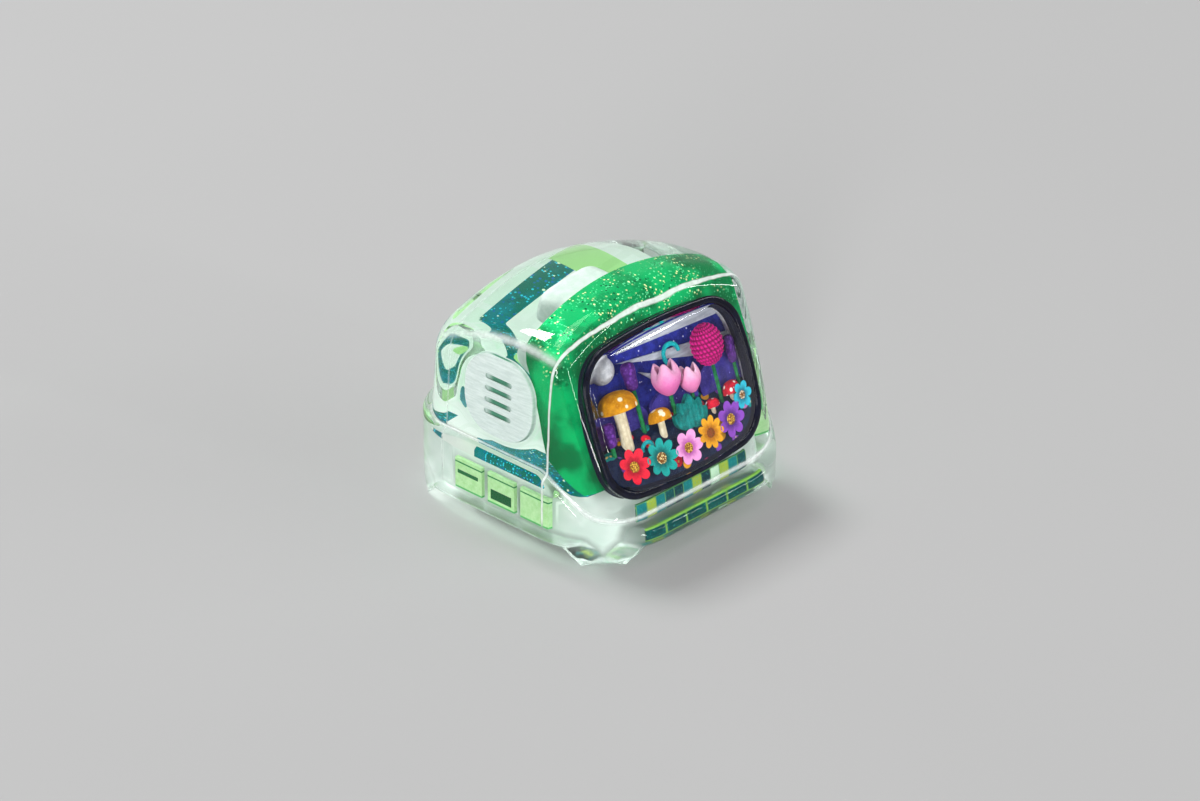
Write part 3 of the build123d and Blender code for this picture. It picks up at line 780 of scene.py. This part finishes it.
leafGreen = {"codes": ("#1F8A50", "#125C35", "#4FB87C")}
carpetHues = [
    (0.0, tint("#0F928E")), (0.42, tint("#E0226E")), (0.54, tint("#E3A01C")), (0.65, tint("#D98BD0")),
    (0.77, tint("#E81F3A")), (0.88, tint("#7A3FAC")),
]
gardenPaints = {
    "ground_panel": {"codes": ("#1A2A4E", "#0E1530", "#1E5A5C"), "grain": 1.2, "heart": tint("#F3D36A"),
                     "carpet": (1.25, 0.3, carpetHues)},
    "sky_panel": {"codes": ("#2B34A0", "#1B2070", "#4A58C4"), "dots": (2.4, 0.12, tint("#E8ECFF"))},
    "mushroom_cap": {"codes": ("#E3A01C", "#B9740F", "#F6C85A"), "dots": (1.5, 0.3, tint("#FFF3D0"))},
    "mushroom_stem": {"codes": ("#F3E9D0", "#D2C4A2", "#FFF9EA"), "ribs": (0.22, 0.5)},
    "toadstool_cap": {"codes": ("#E81F3A", "#B30F2C", "#F7697A"), "dots": (2.3, 0.32, tint("#FFF6EE"))},
    "toadstool_stem": {"codes": ("#F4EADA", "#D5C6AE", "#FFF9EE"), "ribs": (0.16, 0.5)},
    "pom_stem": leafGreen,
    "tulip_stem": leafGreen,
    "flower_spike": {"codes": ("#7A3FAC", "#492270", "#A673D2"), "florets": (4.5, 2.0), "depth": 0.1},
    "spike_stem": leafGreen,
    "cattail_stem": leafGreen,
    "cattail": {"codes": ("#7A4426", "#4A2616", "#A46B45"), "florets": (7.0, 1.5)},
    "tendril": {"codes": ("#1ABFC6", "#0B858E", "#72E6E8")},
    "pebble": {"codes": ("#A6A9B0", "#777A82", "#D2D5DA"), "dots": (5.0, 0.2, tint("#C9CCD2"))},
    "agave": {"codes": ("#0F928E", "#075F5C", "#4CC4BC"), "ribs": (0.3, 0.4)},
    "moon": {"codes": ("#DADCE2", "#A9ACB5", "#F6F7FA"), "dots": (2.0, 0.26, tint("#9A9DA8"))},
    "hill": {"codes": ("#4F44B0", "#322B7C", "#7368CE"), "grain": 1.4, "dots": (3.2, 0.16, tint("#8E86E0"))},
    "light_beam": {"codes": ("#C3C7D2", "#9A9EAC", "#E4E7EE"), "stretch": (0.3, 2.0, 2.0)},
}
for start, settings in gardenPaints.items():
    base, shade, light = [tint(code) for code in settings["codes"]]
    full = dict(settings, base=base, shade=shade, light=light, gloss=0.5)
    finish = painted(start.replace("_", " ") + " paint", full)
    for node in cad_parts:
        if node == start or (node.startswith(start + "_") and node[len(start) + 1:].isdigit()):
            dress(node, finish)
print("finishes set")


# flowers with real petals, on the screen's axes

def bloomPaint(name, petal, shade, heart):  # the stored share runs from the heart out to the tips
    paint = Paint(name)
    share = paint.stored("share")
    streak = paint.noise(5.0, 4.0, 0.6)
    # lower share takes the shade colour; on the pom this is painted shade in the hollows
    base = paint.mix(paint.ramp(share + 0.35 * (streak - 0.5), 0.3, 0.8), tint(shade), tint(petal))
    grain = paint.cells(9.0)
    core = paint.mix(paint.ramp(grain, 0.2, 0.6), tint(heart), tint("#7A4A18"))
    base = paint.mix(share.under(0.3), base, core)
    bump = paint.bump(streak + grain, 0.3, 0.04)
    return paint.done(paint.skin(Base_Color=base, Roughness=0.5, Normal=bump, Specular_IOR_Level=pocketShine))


def bloomRows(settings):
    # radius grows with t and dips between petals; height is a dome, then a dish further out, then the back
    turn = np.linspace(0, 2 * np.pi, 120, endpoint=False)
    t = np.concatenate([np.linspace(0.04, 1, 22), np.linspace(1, 0.1, 6)])[:, None]
    front = np.concatenate([np.ones(22), np.zeros(6)])[:, None]
    lobe = np.abs(np.cos(settings["petals"] * turn / 2 + settings["turn"])) ** 0.6
    radius = settings["radius"] * t * (1 - 0.42 * smooth(0.3, 1.0, t) * (1 - lobe))
    dome = 0.2 * np.maximum(0.28 - t, 0) ** 0.5
    dish = dome + 0.22 * (t - 0.3).clip(0) ** 1.5 + 0.1 * (lobe - 0.5) * t
    height = settings["radius"] * (dish - 0.14 * (1 - front) * (1.2 - t))
    x, y = radius * np.cos(turn), radius * np.sin(turn)
    c, s = math.cos(settings["lean"]), math.sin(settings["lean"])
    rows = np.stack([x, c * y - s * height, s * y + c * height], -1) + np.array(settings["at"])
    return rows, np.broadcast_to(t, height.shape).copy()


blooms = {
    "daisy_1": {"at": (-4.35, -2.75, -0.1), "radius": 1.15, "petals": 7, "turn": 0.2, "lean": -0.3,
                "codes": ("#E8243E", "#A30F28", "#F2C84B")},
    "daisy_2": {"at": (-2.25, -2.95, -0.05), "radius": 1.2, "petals": 8, "turn": 0.5, "lean": -0.25,
                "codes": ("#12A09A", "#06605F", "#F4E3A0")},
    "daisy_3": {"at": (-0.1, -3.1, 0.0), "radius": 1.1, "petals": 6, "turn": 0.1, "lean": -0.25,
                "codes": ("#EFA3DC", "#B659A6", "#F2C84B")},
    "daisy_4": {"at": (1.85, -2.9, 0.0), "radius": 1.05, "petals": 9, "turn": 0.7, "lean": -0.3,
                "codes": ("#E8A51E", "#B06A0C", "#8C2B1E")},
    "daisy_5": {"at": (3.75, -2.75, -0.05), "radius": 1.15, "petals": 7, "turn": 0.4, "lean": -0.2,
                "codes": ("#8A47BC", "#4E2478", "#F2C84B")},
    "daisy_6": {"at": (5.2, -1.75, -0.15), "radius": 0.85, "petals": 6, "turn": 0.0, "lean": -0.1,
                "codes": ("#25B8D0", "#0C6F86", "#FFF3D0")},
}
for name, settings in blooms.items():
    local, share = bloomRows(settings)
    finish = bloomPaint(name + " paint", *settings["codes"])
    bloom = cappedPiece(name, fromScreen(local), finish, {"share": share})
    seat(bloom, "pink_flower")


def tulipRows(settings):  # cup with three petal tips, turned back inside at the lip
    turn = np.linspace(0, 2 * np.pi, 108, endpoint=False)
    t = np.concatenate([np.linspace(0.03, 1, 26), np.linspace(1, 0.5, 8)])[:, None]
    inner = np.concatenate([np.zeros(26), np.ones(8)])[:, None]
    lobe = np.cos(3 * turn)
    belly = np.sin(np.pi * np.clip(t * 0.78 + 0.04, 0, 1)) ** 0.75
    radius = settings["radius"] * belly * (1 + 0.1 * lobe * t) * (1 - 0.12 * inner)
    height = settings["tall"] * t * (1 + 0.16 * lobe * t ** 2) * (1 - 0.03 * inner)
    rows = np.stack([radius * np.cos(turn), height + 0 * turn, radius * np.sin(turn)], -1)
    return rows + np.array(settings["at"]), np.broadcast_to(1 - 0.65 * t, height.shape).copy()


tulips = {
    "tulip_1": {"at": (0.0, 0.1, -0.85), "radius": 1.0, "tall": 1.75,
                "codes": ("#E876BA", "#F9B9DD", "#E876BA")},
    "tulip_2": {"at": (1.75, -0.36, -0.9), "radius": 0.8, "tall": 1.45,
                "codes": ("#F08AC4", "#FBC9E4", "#F08AC4")},
}
for name, settings in tulips.items():
    local, share = tulipRows(settings)
    finish = bloomPaint(name + " paint", *settings["codes"])
    tulip = cappedPiece(name + "_petals", fromScreen(local), finish, {"share": share})
    seat(tulip, "pink_flower", name)


def pomRows(settings):  # ball of short petals: a sphere with crossed ripples, painted shade in its hollows
    turn = np.linspace(0, 2 * np.pi, 168, endpoint=False)
    rise = np.linspace(0.05, np.pi - 0.05, 84)[:, None]
    ripple = np.abs(np.cos(12 * turn + 6 * rise) * np.cos(13 * rise)) ** 0.6
    radius = settings["radius"] * (0.9 + 0.14 * ripple)
    rows = np.stack([radius * np.sin(rise) * np.cos(turn), radius * np.cos(rise) + 0 * turn,
                     radius * np.sin(rise) * np.sin(turn)], -1)
    # share is low in the hollows between ripples, which take the dark colour: painted shade
    return rows + np.array(settings["at"]), 0.31 + 0.6 * ripple ** 2


# the second colour is the painted shade in the hollows between the petals
pom = {"at": (3.81, 1.85, -1.0), "radius": 1.22, "codes": ("#E0228F", "#8A0B56", "#E0228F")}
local, share = pomRows(pom)
finish = bloomPaint("pom paint", *pom["codes"])
ball = cappedPiece("pom_petals", fromScreen(local), finish, {"share": share})
seat(ball, "magenta_flower", "pom_flower_1")
print("flowers done")


# floor, light and camera

stage = {
    "seen": tint("#C9C9C9"), "fill": 0.36, "tones": (tint("#B8B8B8"), tint("#BABABA")), "reach": 900.0,
    "level": -0.01,
}
paint = Paint("studio floor")
tone = paint.mix(paint.ramp(paint.noise(0.02, 2.0), 0.2, 0.8), *stage["tones"])
floorPaint = paint.done(paint.skin(Base_Color=tone, Roughness=0.9, Specular_IOR_Level=0.05))
corners = [(x * stage["reach"] * mm, y * stage["reach"] * mm, stage["level"] * mm)
           for x, y in ((-1, -1), (1, -1), (1, 1), (-1, 1))]
floorMesh = bpy.data.meshes.new("floor")
floorMesh.from_pydata(corners, [], [(0, 1, 2, 3)])
floor = bpy.data.objects.new("floor", floorMesh)
bpy.context.scene.collection.objects.link(floor)
floorMesh.materials.append(floorPaint)

# grey to the camera and through the resin, dim white to everything else
world = bpy.data.worlds.new("studio")
world.use_nodes = True
bpy.context.scene.world = world
tree = world.node_tree
tree.nodes.clear()
ends = tree.nodes.new("ShaderNodeOutputWorld")
seen = tree.nodes.new("ShaderNodeBackground")
seen.inputs["Color"].default_value = stage["seen"]
seen.inputs["Strength"].default_value = 1.0
fill = tree.nodes.new("ShaderNodeBackground")
fill.inputs["Color"].default_value = (1, 1, 1, 1)
fill.inputs["Strength"].default_value = stage["fill"]
path = tree.nodes.new("ShaderNodeLightPath")
either = tree.nodes.new("ShaderNodeMath")
either.operation = "MAXIMUM"
blend = tree.nodes.new("ShaderNodeMixShader")
tree.links.new(path.outputs["Is Camera Ray"], either.inputs[0])
tree.links.new(path.outputs["Is Transmission Ray"], either.inputs[1])
tree.links.new(either.outputs[0], blend.inputs[0])
tree.links.new(fill.outputs[0], blend.inputs[1])
tree.links.new(seen.outputs[0], blend.inputs[2])
tree.links.new(blend.outputs[0], ends.inputs["Surface"])


def softbox(name, settings):  # area lamp in millimetres, turned to face its aim
    lamp = bpy.data.lights.new(name, "AREA")
    lamp.shape = "RECTANGLE"
    lamp.size = settings["size"][0] * mm
    lamp.size_y = settings["size"][1] * mm
    lamp.energy = settings["power"]
    holder = bpy.data.objects.new(name, lamp)
    holder.location = [v * mm for v in settings["where"]]
    facing = np.array(settings["aim"], float) - np.array(settings["where"], float)
    roll = Quaternion((0, 0, 1), math.radians(settings.get("roll", 0)))
    holder.rotation_euler = (Vector(facing).to_track_quat("-Z", "Y") @ roll).to_euler()
    bpy.context.scene.collection.objects.link(holder)


lamps = {
    "key softbox": {"where": (10, 240, 325), "aim": (0, 0, 5), "size": (95, 85), "power": 0.86},
    "top softbox": {"where": (60, 30, 390), "aim": (0, 0, 5), "size": (180, 120), "power": 0.24},
    "left wing": {"where": (-330, -210, 120), "aim": (0, 0, 6), "size": (60, 200), "power": 0.92},
    "right strip": {"where": (219, -255, 113), "aim": (0, -8, 11), "size": (250, 13), "power": 0.26,
                    "roll": -17},
    "front card": {"where": (62, -348, 52), "aim": (0, -8, 8), "size": (20, 110), "power": 0.2},
}
for name, settings in lamps.items():
    softbox(name, settings)
print("floor and lamps set")

look = {
    "turn": math.radians(43.8), "drop": math.radians(28.5), "far": 350.0, "aim": (0.0, 0.0, 5.38),
    "lens": 175.9, "sensor": 36.0,
}
camera = bpy.data.cameras.new("camera")
camera.lens = look["lens"]
camera.sensor_width = look["sensor"]
camera.sensor_fit = "HORIZONTAL"
camera.clip_start = 0.01
camera.clip_end = 20.0
eye = bpy.data.objects.new("camera", camera)
level = math.cos(look["drop"])
way = (level * math.cos(look["turn"]), level * math.sin(look["turn"]), -math.sin(look["drop"]))
eye.location = [(a - look["far"] * w) * mm for a, w in zip(look["aim"], way)]
eye.rotation_euler = Vector(way).to_track_quat("-Z", "Y").to_euler()
bpy.context.scene.collection.objects.link(eye)
bpy.context.scene.camera = eye

bpy.context.scene.view_settings.view_transform = "Standard"
